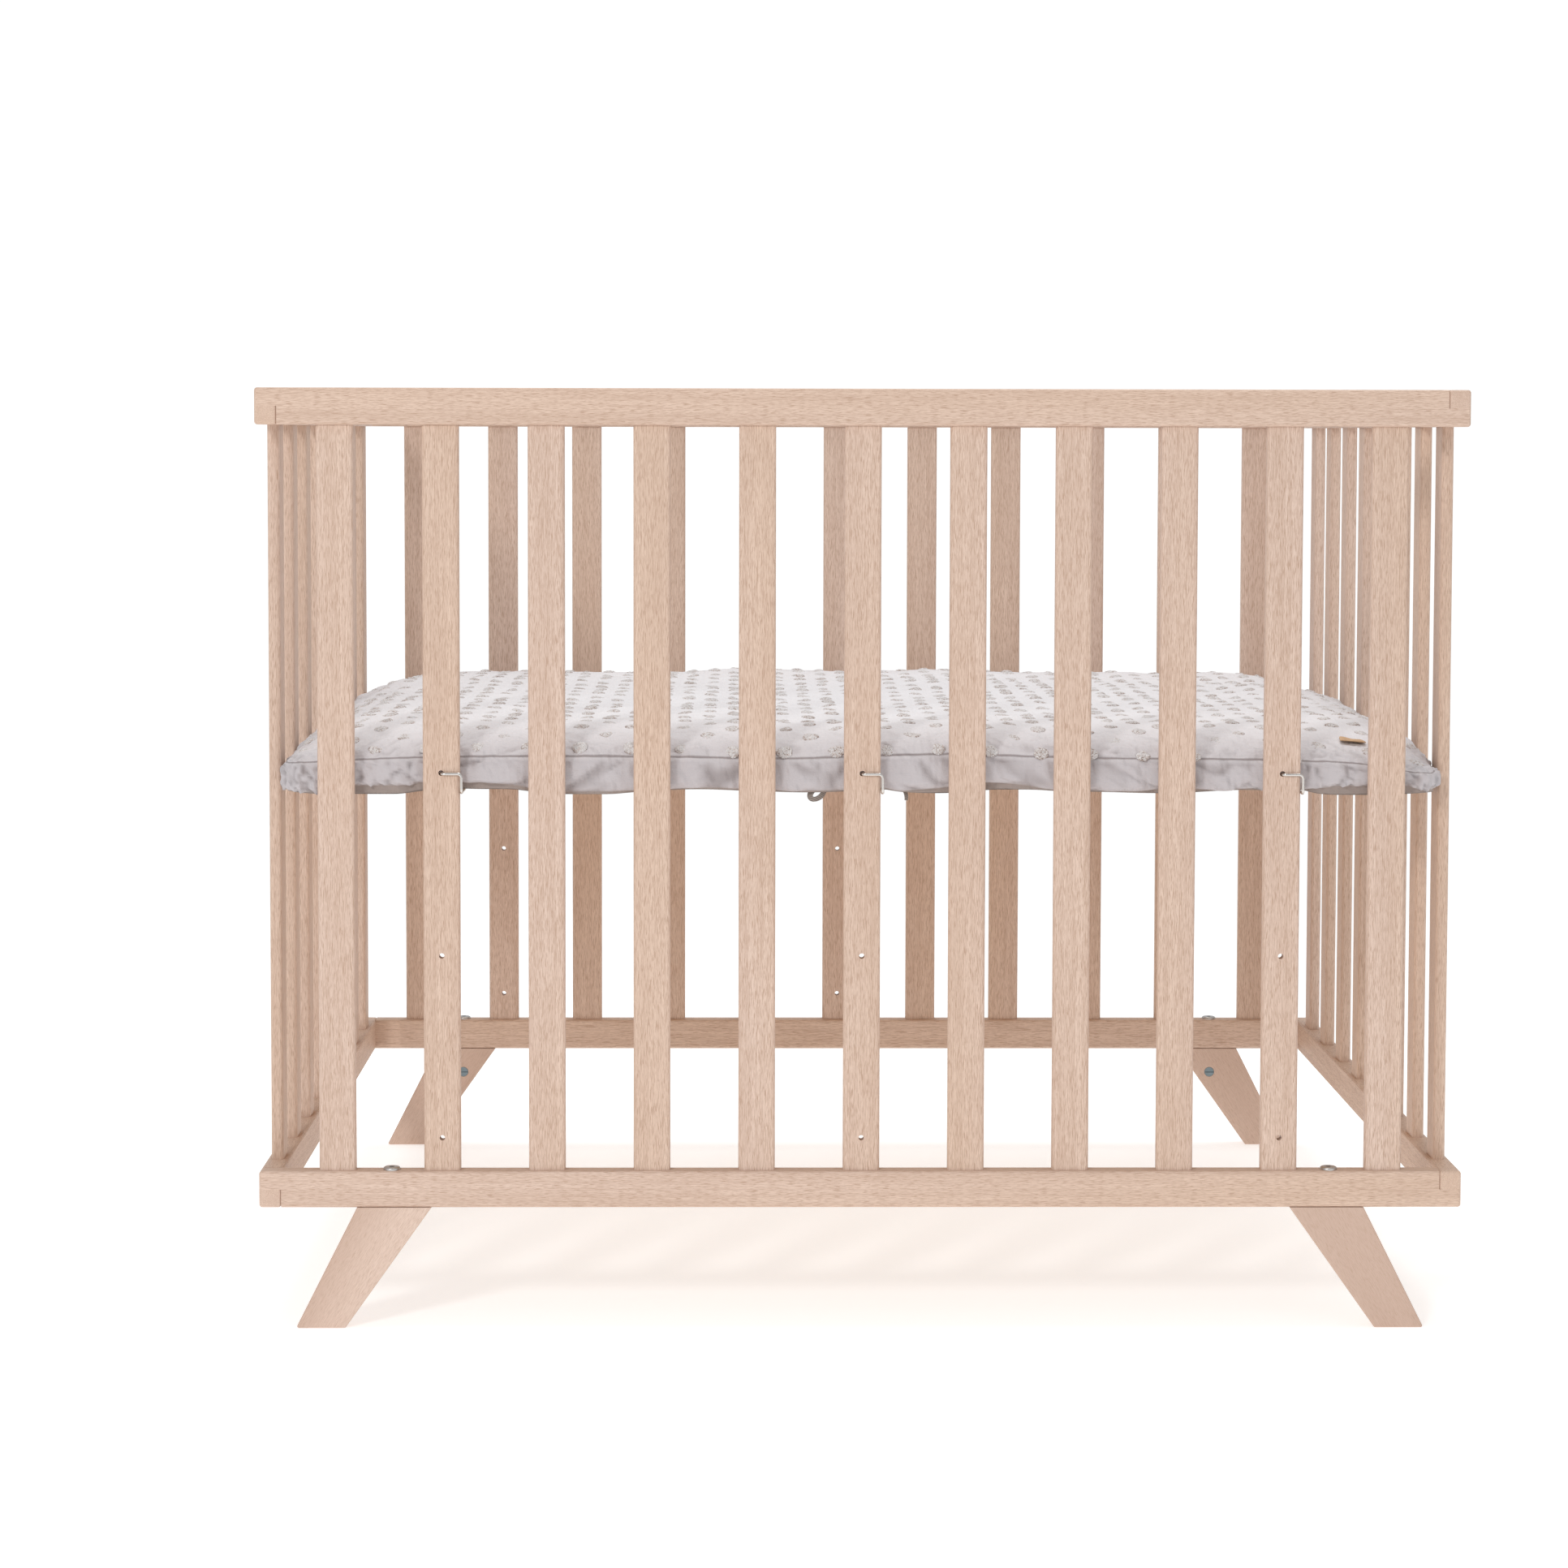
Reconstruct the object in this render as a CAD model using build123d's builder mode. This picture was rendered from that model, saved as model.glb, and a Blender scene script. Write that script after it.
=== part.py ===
"""Wooden playpen with splayed legs and a padded floor hung on wire hooks.

Millimetres, +Z up. The origin is on the ground under the middle of the pen,
+X runs along the long side and the front panel faces -Y.
"""
from build123d import *
import os

# ---- driving dimensions ----------------------------------------------------
INNER_LENGTH = 950          # clear space between the end panels
INNER_WIDTH = 750           # clear space between the front and back panels
OVERALL_HEIGHT = 770
LEG_HEIGHT = 100            # ground to the underside of the bottom rails

RAIL_THICKNESS = 18
RAIL_HEIGHT = 30
RAIL_ROUND = 2.5

SLAT_WIDTH = 30
SLAT_THICKNESS = 10
SLAT_ROUND = 3
SLAT_END_INSET = 64         # outer end of a rail to the centre of its first slat
LONG_SLAT_COUNT = 11        # front and back panels
SHORT_SLAT_COUNT = 8        # end panels
TENON_WIDTH = 24
TENON_THICKNESS = 6
TENON_LENGTH = 12
TENON_CLEARANCE = 0.1

HOOK_SLATS = (2, 6, 10)     # slats of the long panels that carry the hook holes
HOOK_HOLE_RADIUS = 2.25
LOWEST_HOOK_HOLE = 157      # height of the lowest row of hook holes
HOOK_HOLE_STEP = 150        # the floor hangs at one of three heights
HOOK_ROWS = 3

WIRE_RADIUS = 1.25
WIRE_BEND = 3.2             # bend radius of the wire's centre line
WIRE_GAP = 0.35             # clearance between wire and wood
HOOK_REACH = 16.6           # from the hole to the wire's down leg
HOOK_DROP = 15.4            # from the hole arm down to the floor arm
HOOK_ARM = 45               # how far the floor arm reaches inwards
HOOK_HOLE_END = 2           # how far the hole arm stands past the slat

BOARD_LENGTH = 936
BOARD_WIDTH = 736
BOARD_THICKNESS = 12
BOARD_CORNER = 20
MAT_LENGTH = 948
MAT_WIDTH = 748
MAT_HEIGHT = 45
MAT_CORNER = 28
MAT_EDGE_ROUND = 14
MAT_POCKET_CLEARANCE = 0.2

LEG_THICKNESS = 18
LEG_TOP_INNER = 352         # x of the leg's edges at its top and at the ground
LEG_TOP_OUTER = 413
LEG_FOOT_INNER = 423
LEG_FOOT_OUTER = 463.5
LEG_ROUND = 1.5

BOLT_X = 385                # leg bolts, from the middle of the pen
BOLT_RADIUS = 3
BOLT_HOLE_RADIUS = 3.25
BOLT_LENGTH = 60
BOLT_HEAD_RADIUS = 7
BOLT_HEAD_HEIGHT = 2.4
BOLT_HEAD_ROUND = 1.6
BOLT_TIP_CHAMFER = 0.8
HEX_KEY = 4                 # across flats
HEX_DEPTH = 1.8
BARREL_DROP = 24            # rail underside to the barrel nut's axis
BARREL_RADIUS = 5
BARREL_LENGTH = 14
BARREL_ROUND = 0.4
BARREL_SLOT = (1.2, 1.5)    # width and depth of the screwdriver slot
BOLT_END_ROOM = 4

DOWEL_X = 402               # locating dowel beside each leg bolt
DOWEL_RADIUS = 4
DOWEL_LENGTH = 30
DOWEL_CLEARANCE = 0.05
DOWEL_END_ROOM = 1
DOWEL_CHAMFER = 0.8

SCREW_RADIUS = 2            # wood screws that hold the corner laps
SCREW_HEAD_RADIUS = 4
SCREW_HEAD_HEIGHT = 3.2
SCREW_LENGTH = 25
SCREW_CLEARANCE = 0.1
SCREW_RECESS_SIDE = 2.4
SCREW_RECESS_DEPTH = 1.6

TAG_SIZE = (21, 12, 1)
TAG_PLACE = (403, -340)
TIE_SIZE = (4.5, 12)        # width of the tape and how far it hangs
TIE_THICKNESS = 1.2
LOOP_WIDTH = 18
TIE_X = 36.5

# ---- sizes that follow -----------------------------------------------------
OUTER_LENGTH = INNER_LENGTH + 2 * RAIL_THICKNESS
OUTER_WIDTH = INNER_WIDTH + 2 * RAIL_THICKNESS
LONG_RAIL_Y = (OUTER_WIDTH - RAIL_THICKNESS) / 2
SHORT_RAIL_X = (OUTER_LENGTH - RAIL_THICKNESS) / 2
BOTTOM_RAIL_Z = LEG_HEIGHT + RAIL_HEIGHT / 2
TOP_RAIL_Z = OVERALL_HEIGHT - RAIL_HEIGHT / 2
SLAT_LENGTH = OVERALL_HEIGHT - LEG_HEIGHT - 2 * RAIL_HEIGHT
SLAT_Z = LEG_HEIGHT + RAIL_HEIGHT + SLAT_LENGTH / 2
HOOK_HOLES = [LOWEST_HOOK_HOLE + HOOK_HOLE_STEP * row for row in range(HOOK_ROWS)]
SLAT_FACE_Y = LONG_RAIL_Y + SLAT_THICKNESS / 2
HOOK_ARM_Z = HOOK_HOLES[-1] - HOOK_HOLE_RADIUS + WIRE_RADIUS + WIRE_GAP
FLOOR_ARM_Z = HOOK_ARM_Z - HOOK_DROP
FLOOR_Z = FLOOR_ARM_Z + WIRE_RADIUS + WIRE_GAP

# Each side of the pen is the same part turned about Z, so a side is its x direction.
FRONT = Vector(1, 0, 0)
BACK = Vector(-1, 0, 0)
LEFT = Vector(0, -1, 0)
RIGHT = Vector(0, 1, 0)


def side_plane(x_dir, distance, height):
    """Plane on one side of the pen: x along the panel, y inwards, z up."""
    outwards = x_dir.cross(Vector(0, 0, 1)) * distance
    return Plane(origin=outwards + Vector(0, 0, height), x_dir=x_dir, z_dir=(0, 0, 1))


def slat_places(rail_length, count):
    """Centres of the slats along a rail, from its middle."""
    first = SLAT_END_INSET - rail_length / 2
    pitch = (rail_length - 2 * SLAT_END_INSET) / (count - 1)
    return [first + pitch * index for index in range(count)]


def finish(piece, name):
    """Name a finished piece and write it out."""
    piece.part.label = name
    export_step(piece.part, f"parts/{name}.step")


LONG_SLATS = slat_places(OUTER_LENGTH, LONG_SLAT_COUNT)
SHORT_SLATS = slat_places(OUTER_WIDTH, SHORT_SLAT_COUNT)
CORNER_X = OUTER_LENGTH / 2 - RAIL_THICKNESS / 2
CORNER_Y = OUTER_WIDTH / 2 - RAIL_THICKNESS / 2


# ---- rails -----------------------------------------------------------------
def make_rail(name, plane, length, slats, at_top, bolted=False):
    """A rail with half laps at both ends, mortises for its slats and screw holes.

    The upper half runs on at the -x end and the lower half at the +x end, so
    four of them go round the pen and each corner closes into a square lap.
    """
    mortise_side = -1 if at_top else 1
    lap_x = (length - RAIL_THICKNESS) / 2
    with BuildPart(plane) as rail:
        Box(length, RAIL_THICKNESS, RAIL_HEIGHT)
        fillet(rail.edges(), RAIL_ROUND)

        # half laps: lower half gone at -x, upper half gone at +x
        with Locations((-lap_x, 0, -RAIL_HEIGHT / 4), (lap_x, 0, RAIL_HEIGHT / 4)):
            Box(RAIL_THICKNESS, RAIL_THICKNESS, RAIL_HEIGHT / 2, mode=Mode.SUBTRACT)

        # mortises for the slat tenons
        mortise_z = mortise_side * (RAIL_HEIGHT - TENON_LENGTH) / 2
        with Locations([(x, 0, mortise_z) for x in slats]):
            Box(
                TENON_WIDTH + 2 * TENON_CLEARANCE,
                TENON_THICKNESS + 2 * TENON_CLEARANCE,
                TENON_LENGTH + TENON_CLEARANCE,
                mode=Mode.SUBTRACT,
            )

        # screw holes: countersunk through the lower half, blind in the upper half
        hole_radius = SCREW_RADIUS + SCREW_CLEARANCE
        hole_top = SCREW_LENGTH - RAIL_HEIGHT / 2
        with Locations((lap_x, 0, -RAIL_HEIGHT / 4)):
            Cylinder(hole_radius, RAIL_HEIGHT / 2, mode=Mode.SUBTRACT)
        with Locations((lap_x, 0, -RAIL_HEIGHT / 2)):
            Cone(
                SCREW_HEAD_RADIUS + SCREW_CLEARANCE,
                hole_radius,
                SCREW_HEAD_HEIGHT,
                align=(Align.CENTER, Align.CENTER, Align.MIN),
                mode=Mode.SUBTRACT,
            )
        with Locations((-lap_x, 0, 0)):
            Cylinder(
                hole_radius,
                hole_top + SCREW_CLEARANCE,
                align=(Align.CENTER, Align.CENTER, Align.MIN),
                mode=Mode.SUBTRACT,
            )

        # bottom long rails: leg bolts go through, leg dowels come up from below
        if bolted:
            with Locations((-BOLT_X, 0, 0), (BOLT_X, 0, 0)):
                Cylinder(BOLT_HOLE_RADIUS, RAIL_HEIGHT, mode=Mode.SUBTRACT)
            with Locations((-DOWEL_X, 0, -RAIL_HEIGHT / 2), (DOWEL_X, 0, -RAIL_HEIGHT / 2)):
                Cylinder(
                    DOWEL_RADIUS + DOWEL_CLEARANCE,
                    DOWEL_LENGTH / 2 + DOWEL_END_ROOM,
                    align=(Align.CENTER, Align.CENTER, Align.MIN),
                    mode=Mode.SUBTRACT,
                )
    finish(rail, name)


# ---- slats -----------------------------------------------------------------
def make_slat(name, plane, offsets, holes=()):
    """Upright slats with tenons: one for each offset along the panel."""
    with BuildPart(plane) as slat:
        with Locations([(x, 0, 0) for x in offsets]):
            Box(SLAT_WIDTH, SLAT_THICKNESS, SLAT_LENGTH)
        fillet(slat.edges().filter_by(Axis.Z), SLAT_ROUND)
        with Locations([(x, 0, 0) for x in offsets]):
            Box(TENON_WIDTH, TENON_THICKNESS, SLAT_LENGTH + 2 * TENON_LENGTH)
        for height in holes:
            with Locations([Location((x, 0, height - SLAT_Z), (90, 0, 0)) for x in offsets]):
                Cylinder(HOOK_HOLE_RADIUS, SLAT_THICKNESS, mode=Mode.SUBTRACT)
    finish(slat, name)


# ---- legs and their fasteners ------------------------------------------------
def make_leg(name, x_dir, side):
    """A splayed leg under a bottom rail; side is +1 or -1 along the panel."""
    plane = side_plane(x_dir, LONG_RAIL_Y, 0)
    face = Plane(origin=plane.origin, x_dir=plane.x_dir, z_dir=-plane.y_dir)
    outline = [
        (side * LEG_TOP_INNER, LEG_HEIGHT),
        (side * LEG_TOP_OUTER, LEG_HEIGHT),
        (side * LEG_FOOT_OUTER, 0),
        (side * LEG_FOOT_INNER, 0),
    ]
    with BuildPart(plane) as leg:
        with BuildSketch(face):
            with BuildLine():
                Polyline(*outline, close=True)
            make_face()
        extrude(amount=LEG_THICKNESS / 2, both=True)
        top = leg.faces().sort_by(Axis.Z)[-1]
        fillet(leg.edges() - top.edges(), LEG_ROUND)

        # bolt hole from the top, past the barrel nut
        with Locations((side * BOLT_X, 0, LEG_HEIGHT)):
            Cylinder(
                BOLT_HOLE_RADIUS,
                BOLT_LENGTH - RAIL_HEIGHT + BOLT_END_ROOM,
                align=(Align.CENTER, Align.CENTER, Align.MAX),
                mode=Mode.SUBTRACT,
            )
        # blind cross hole for the barrel nut, open on the inner face
        barrel_z = LEG_HEIGHT - BARREL_DROP
        with Locations(Location((side * BOLT_X, LEG_THICKNESS / 2, barrel_z), (90, 0, 0))):
            Cylinder(
                BARREL_RADIUS + DOWEL_CLEARANCE,
                BARREL_LENGTH + DOWEL_END_ROOM,
                align=(Align.CENTER, Align.CENTER, Align.MIN),
                mode=Mode.SUBTRACT,
            )
        with Locations((side * DOWEL_X, 0, LEG_HEIGHT)):
            Cylinder(
                DOWEL_RADIUS + DOWEL_CLEARANCE,
                DOWEL_LENGTH / 2 + DOWEL_END_ROOM,
                align=(Align.CENTER, Align.CENTER, Align.MAX),
                mode=Mode.SUBTRACT,
            )
    finish(leg, name)


def make_leg_bolt():
    """Low domed bolt with a hexagon socket, standing on its head's underside."""
    with BuildPart() as leg_bolt:
        Cylinder(BOLT_HEAD_RADIUS, BOLT_HEAD_HEIGHT, align=(Align.CENTER, Align.CENTER, Align.MIN))
        fillet(leg_bolt.edges().filter_by(GeomType.CIRCLE).sort_by(Axis.Z)[-1], BOLT_HEAD_ROUND)
        Cylinder(BOLT_RADIUS, BOLT_LENGTH, align=(Align.CENTER, Align.CENTER, Align.MAX))
        chamfer(leg_bolt.edges().filter_by(GeomType.CIRCLE).sort_by(Axis.Z)[0], BOLT_TIP_CHAMFER)
        with BuildSketch(Plane.XY.offset(BOLT_HEAD_HEIGHT)):
            RegularPolygon(HEX_KEY / 2, 6, major_radius=False)
        extrude(amount=-HEX_DEPTH, mode=Mode.SUBTRACT)
    return leg_bolt.part


def make_barrel_nut():
    """Slotted cross dowel, slot on the pen's inner side, threaded for the bolt."""
    slot_width, slot_depth = BARREL_SLOT
    with BuildPart() as barrel_nut:
        with BuildSketch(Plane.XZ.offset(-LEG_THICKNESS / 2)):
            Circle(BARREL_RADIUS)
        extrude(amount=BARREL_LENGTH)
        fillet(barrel_nut.edges().filter_by(GeomType.CIRCLE), BARREL_ROUND)
        with Locations((0, LEG_THICKNESS / 2, 0)):
            Box(3 * BARREL_RADIUS, 2 * slot_depth, slot_width, mode=Mode.SUBTRACT)
        Cylinder(BOLT_RADIUS + DOWEL_CLEARANCE, 3 * BARREL_RADIUS, mode=Mode.SUBTRACT)
    return barrel_nut.part


def make_group(name, solid, places):
    """Identical separate solids in one piece, one at each place."""
    with BuildPart() as group:
        with Locations(places):
            add(solid)
    finish(group, name)


def at_legs(x, height):
    """Four places at the legs; the back pair is turned to face the front."""
    spots = []
    for side in (-1, 1):
        spots.append(Location((side * x, -LONG_RAIL_Y, height)))
        spots.append(Location((side * x, LONG_RAIL_Y, height), (0, 0, 180)))
    return spots


def make_dowel():
    """Beech dowel with chamfered ends, standing on its own middle."""
    with BuildPart() as dowel:
        Cylinder(DOWEL_RADIUS, DOWEL_LENGTH)
        chamfer(dowel.edges().filter_by(GeomType.CIRCLE), DOWEL_CHAMFER)
    return dowel.part


def make_corner_screw():
    """Countersunk wood screw, driven upwards, with a square recess in its head."""
    with BuildPart() as screw:
        Cylinder(SCREW_RADIUS, SCREW_LENGTH, align=(Align.CENTER, Align.CENTER, Align.MIN))
        Cone(
            SCREW_HEAD_RADIUS,
            SCREW_RADIUS,
            SCREW_HEAD_HEIGHT,
            align=(Align.CENTER, Align.CENTER, Align.MIN),
        )
        chamfer(screw.faces().sort_by(Axis.Z)[-1].edges(), SCREW_RADIUS * 0.6)
        Box(
            SCREW_RECESS_SIDE,
            SCREW_RECESS_SIDE,
            2 * SCREW_RECESS_DEPTH,
            mode=Mode.SUBTRACT,
        )
    return screw.part


# ---- hooks -------------------------------------------------------------------
def make_hook(name, x_dir, slat_x):
    """Wire hook: in through the slat, along its face, down and in under the floor."""
    plane = side_plane(x_dir, SLAT_FACE_Y, 0)
    face_y = -(WIRE_RADIUS + WIRE_GAP)
    down_x = slat_x + HOOK_REACH
    path_points = [
        (slat_x, SLAT_THICKNESS + HOOK_HOLE_END, HOOK_ARM_Z),
        (slat_x, face_y, HOOK_ARM_Z),
        (down_x, face_y, HOOK_ARM_Z),
        (down_x, face_y, FLOOR_ARM_Z),
        (down_x, HOOK_ARM, FLOOR_ARM_Z),
    ]
    points = [plane.from_local_coords(Vector(*point)) for point in path_points]
    with BuildPart() as hook:
        with BuildLine() as path:
            FilletPolyline(*points, radius=WIRE_BEND)
        start = Plane(origin=points[0], z_dir=points[1] - points[0])
        with BuildSketch(start):
            Circle(WIRE_RADIUS)
        sweep(path=path.wire())
        ends = hook.faces().filter_by(GeomType.PLANE).edges()
        fillet(ends, WIRE_RADIUS * 0.4)
    finish(hook, name)


# ---- floor ---------------------------------------------------------------------
def make_floor_board():
    """Plywood board that rests on the floor arms of the hooks."""
    with BuildPart(Plane.XY.offset(FLOOR_Z)) as floor_board:
        with BuildSketch(Plane.XY.offset(FLOOR_Z)):
            RectangleRounded(BOARD_LENGTH, BOARD_WIDTH, BOARD_CORNER)
        extrude(amount=BOARD_THICKNESS)
    finish(floor_board, "floor_board")


def make_mat():
    """Padded mat whose cover wraps the board's edge from above."""
    grow = MAT_POCKET_CLEARANCE
    with BuildPart() as mat:
        with BuildSketch(Plane.XY.offset(FLOOR_Z)):
            RectangleRounded(MAT_LENGTH, MAT_WIDTH, MAT_CORNER)
        extrude(amount=MAT_HEIGHT)
        fillet(mat.faces().sort_by(Axis.Z)[-1].edges(), MAT_EDGE_ROUND)
        with BuildSketch(Plane.XY.offset(FLOOR_Z)):
            RectangleRounded(BOARD_LENGTH + grow, BOARD_WIDTH + grow, BOARD_CORNER)
        extrude(amount=BOARD_THICKNESS, mode=Mode.SUBTRACT)
    finish(mat, "mat")


def make_mat_tag():
    """Blank leather tag on the mat's top near the front right corner."""
    tag_length, tag_width, tag_thickness = TAG_SIZE
    with BuildPart() as mat_tag:
        with BuildSketch(Plane.XY.offset(FLOOR_Z + MAT_HEIGHT)):
            with Locations(TAG_PLACE):
                RectangleRounded(tag_length, tag_width, 2)
        extrude(amount=tag_thickness)
    finish(mat_tag, "mat_tag")


def make_mat_ties():
    """A tape loop and a tape end that hang from the cover's front hem."""
    width, hang = TIE_SIZE
    hem_y = -(BOARD_WIDTH / 2 - 6)
    loop_plane = Plane(origin=(-TIE_X, hem_y, FLOOR_Z), x_dir=(1, 0, 0), z_dir=(0, -1, 0))
    with BuildPart() as mat_tie_loop:
        with BuildSketch(loop_plane):
            with Locations((0, -hang / 2)):
                Ellipse(LOOP_WIDTH / 2, hang / 2)
                Ellipse(LOOP_WIDTH / 2 - TIE_THICKNESS, hang / 2 - TIE_THICKNESS, mode=Mode.SUBTRACT)
        extrude(amount=width)
    finish(mat_tie_loop, "mat_tie_loop")

    end_plane = Plane(origin=(TIE_X, hem_y, FLOOR_Z), x_dir=(1, 0, 0), z_dir=(0, -1, 0))
    with BuildPart() as mat_tie_end:
        with BuildSketch(end_plane):
            with Locations((0, -hang / 2)):
                Rectangle(width, hang)
        extrude(amount=TIE_THICKNESS)
    finish(mat_tie_end, "mat_tie_end")


# ---- the pen ---------------------------------------------------------------------
def main():
    os.makedirs("parts", exist_ok=True)

    for level, height in (("top", TOP_RAIL_Z), ("bottom", BOTTOM_RAIL_Z)):
        at_top = level == "top"
        for side, x_dir in (("front", FRONT), ("back", BACK)):
            plane = side_plane(x_dir, LONG_RAIL_Y, height)
            make_rail(
                f"{side}_{level}_rail", plane, OUTER_LENGTH, LONG_SLATS, at_top, bolted=not at_top
            )
        for side, x_dir in (("left", LEFT), ("right", RIGHT)):
            plane = side_plane(x_dir, SHORT_RAIL_X, height)
            make_rail(f"{side}_{level}_rail", plane, OUTER_WIDTH, SHORT_SLATS, at_top)

    for side, x_dir in (("front", FRONT), ("back", BACK)):
        plane = side_plane(x_dir, LONG_RAIL_Y, SLAT_Z)
        for number, x in enumerate(LONG_SLATS, start=1):
            holes = HOOK_HOLES if number in HOOK_SLATS else ()
            make_slat(f"{side}_slat_{number:02d}", plane, [x], holes)
        for hook_number, slat_number in enumerate(HOOK_SLATS, start=1):
            make_hook(f"{side}_hook_{hook_number}", x_dir, LONG_SLATS[slat_number - 1])
        for leg_number, leg_side in enumerate((-1, 1), start=1):
            make_leg(f"{side}_leg_{leg_number}", x_dir, leg_side)
    for side, x_dir in (("left", LEFT), ("right", RIGHT)):
        make_slat(f"{side}_slats", side_plane(x_dir, SHORT_RAIL_X, SLAT_Z), SHORT_SLATS)

    make_group("leg_bolts", make_leg_bolt(), at_legs(BOLT_X, LEG_HEIGHT + RAIL_HEIGHT))
    make_group("leg_barrel_nuts", make_barrel_nut(), at_legs(BOLT_X, LEG_HEIGHT - BARREL_DROP))
    make_group("leg_dowels", make_dowel(), at_legs(DOWEL_X, LEG_HEIGHT))
    corners = [
        Location((x, y, z - RAIL_HEIGHT / 2))
        for x in (-CORNER_X, CORNER_X)
        for y in (-CORNER_Y, CORNER_Y)
        for z in (BOTTOM_RAIL_Z, TOP_RAIL_Z)
    ]
    make_group("corner_screws", make_corner_screw(), corners)

    make_floor_board()
    make_mat()
    make_mat_tag()
    make_mat_ties()


main()
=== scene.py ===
"""Looks of the slatted wooden playpen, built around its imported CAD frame.

Blender 4.5, metres, in the frame of the CAD: +X along the long side, -Y to the
front panel, +Z up, the origin on the ground under the middle of the pen.
"""
import math
import random

import bmesh
import bpy
import numpy as np
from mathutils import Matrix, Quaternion, Vector, noise


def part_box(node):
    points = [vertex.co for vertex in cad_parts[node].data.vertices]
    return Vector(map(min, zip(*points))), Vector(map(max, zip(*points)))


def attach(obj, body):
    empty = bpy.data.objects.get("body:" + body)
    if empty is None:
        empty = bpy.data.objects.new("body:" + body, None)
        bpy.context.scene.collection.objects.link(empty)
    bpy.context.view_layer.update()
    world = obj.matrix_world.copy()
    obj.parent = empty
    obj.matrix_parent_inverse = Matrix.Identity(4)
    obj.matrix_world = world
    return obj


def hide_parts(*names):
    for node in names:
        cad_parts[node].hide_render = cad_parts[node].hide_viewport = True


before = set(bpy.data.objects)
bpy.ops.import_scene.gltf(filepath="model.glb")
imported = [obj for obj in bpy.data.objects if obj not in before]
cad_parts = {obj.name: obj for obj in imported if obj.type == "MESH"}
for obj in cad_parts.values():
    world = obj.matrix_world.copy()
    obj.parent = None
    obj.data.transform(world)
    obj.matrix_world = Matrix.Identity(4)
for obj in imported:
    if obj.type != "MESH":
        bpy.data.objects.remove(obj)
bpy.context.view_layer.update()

MM = 0.001
SEED = 20
LEG_LEAN = math.radians(31)     # the legs' grain follows their splay

# ---- places that come from the frame -----------------------------------------
MAT_LOW, MAT_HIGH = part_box("mat")
BOARD_LOW, BOARD_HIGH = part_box("floor_board")
TAG_LOW, TAG_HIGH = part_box("mat_tag")
LOOP_LOW, LOOP_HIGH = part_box("mat_tie_loop")
TIE_LOW, TIE_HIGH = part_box("mat_tie_end")
WIRE_RADIUS = 1.25 * MM
HOOK_ARMS = [
    (low.x + WIRE_RADIUS if side == "back" else high.x - WIRE_RADIUS, side)
    for side in ("front", "back")
    for low, high in (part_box(f"{side}_hook_{number}") for number in (1, 2, 3))
]

# ---- mat ---------------------------------------------------------------------
MAT_HALF = ((MAT_HIGH.x - MAT_LOW.x) / 2, (MAT_HIGH.y - MAT_LOW.y) / 2)
MAT_FULL = (474.2 * MM, 370.8 * MM)     # the outline at the seam
MAT_MOST = (478.2 * MM, 374.5 * MM)     # the sides swell no further than this
MAT_CORNER = 15 * MM
SEAM_Z = MAT_LOW.z + 25 * MM
SEAM_DRIFT = 4 * MM             # the seam wanders up and down along the edge
SEAM_DIP = 4 * MM               # the seam comes down at the corners
CROWN_RISE = 21 * MM            # from the seam to the flat of the top
CROWN_ROUND = (2.3, 0.75)       # powers of the rounded edge; (2, 0.5) is an ellipse
CROWN_REACH = 85 * MM           # width of the rounded edge
BACK_RISE = 5.5 * MM            # the wadding is fuller towards the back
CORNER_DROOP = 8 * MM
CORNER_SPREAD = 75 * MM
BAND_ROWS = 9
LIP_ROW = 6                     # rows below this one are the strip set back under the band
BAND_BULGE = 2.0 * MM
FOLD_HEIGHT = 2.6 * MM          # puckers of the band and of the top beside the seam
FOLD_BROAD = 30                 # folds to the metre, in two sizes
FOLD_NARROW = 74
FOLD_LEAN = 55                  # how much the folds lean towards the corners
FOLD_FLOOR = 1.1                # depth of the sharp creases, in fold heights
VALLEY_DEPTH = 0.9              # painted shade fills the creases up to this height
STRIP_BACK = 1.8 * MM
LIP_RISE = 8 * MM               # the most that the band rides up off the strip
CORNER_PULL = 7 * MM            # the top is pulled down over the front right corner
PULL_SPREAD = 42 * MM
HEM_Z = MAT_LOW.z - 0.2 * MM
HEM_SAG = 4.5 * MM              # the hem hangs down between the hooks
CLOTH_STEP = 7 * MM
CLOTH_GROWTH = 0.045            # the cover is this much larger than the foam
CLOTH_FRAMES = 22
CLOTH_CAP = 3 * MM              # furthest a point of the cover moves, out or in
SEAM_PIN = 0.96                 # how firmly the seam is held while the cover settles
BAND_MOVE = 1.6                 # the band's folds are this much stronger
SEAM_GROOVE = 1.2 * MM
TOP_SHADE = 0.85                # how much painted shade the top gets beside the seam
EDGE_SHADE = 36 * MM            # the painted shade on the top fades out over this width from the seam
PUFF = 1.3 * MM                 # small puffs of the cover between the tufts
FOAM_INSET = 1.5 * MM
WAVE_HEIGHT = 2.4 * MM

# ---- ties and tag ------------------------------------------------------------
LOOP_WIDTH = 6.2 * MM
LOOP_LEAN = math.radians(-38)
LOOP_START = math.radians(-100)
LOOP_SWEEP = math.radians(380)  # the tape crosses itself where it meets the hem
TAPE_WIDTH = 4.4 * MM
TAPE_THICKNESS = 1.2 * MM
TAPE_SIDES = 12                 # points round the tape's section
TAG_LIFT = 0.5 * MM
TAG_RISE = 2.6 * MM             # the front edge stands off the slope
TAG_THICKNESS = 1.1 * MM
TAG_SHIFT = Vector((5.5 * MM, 2 * MM, 0))

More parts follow.
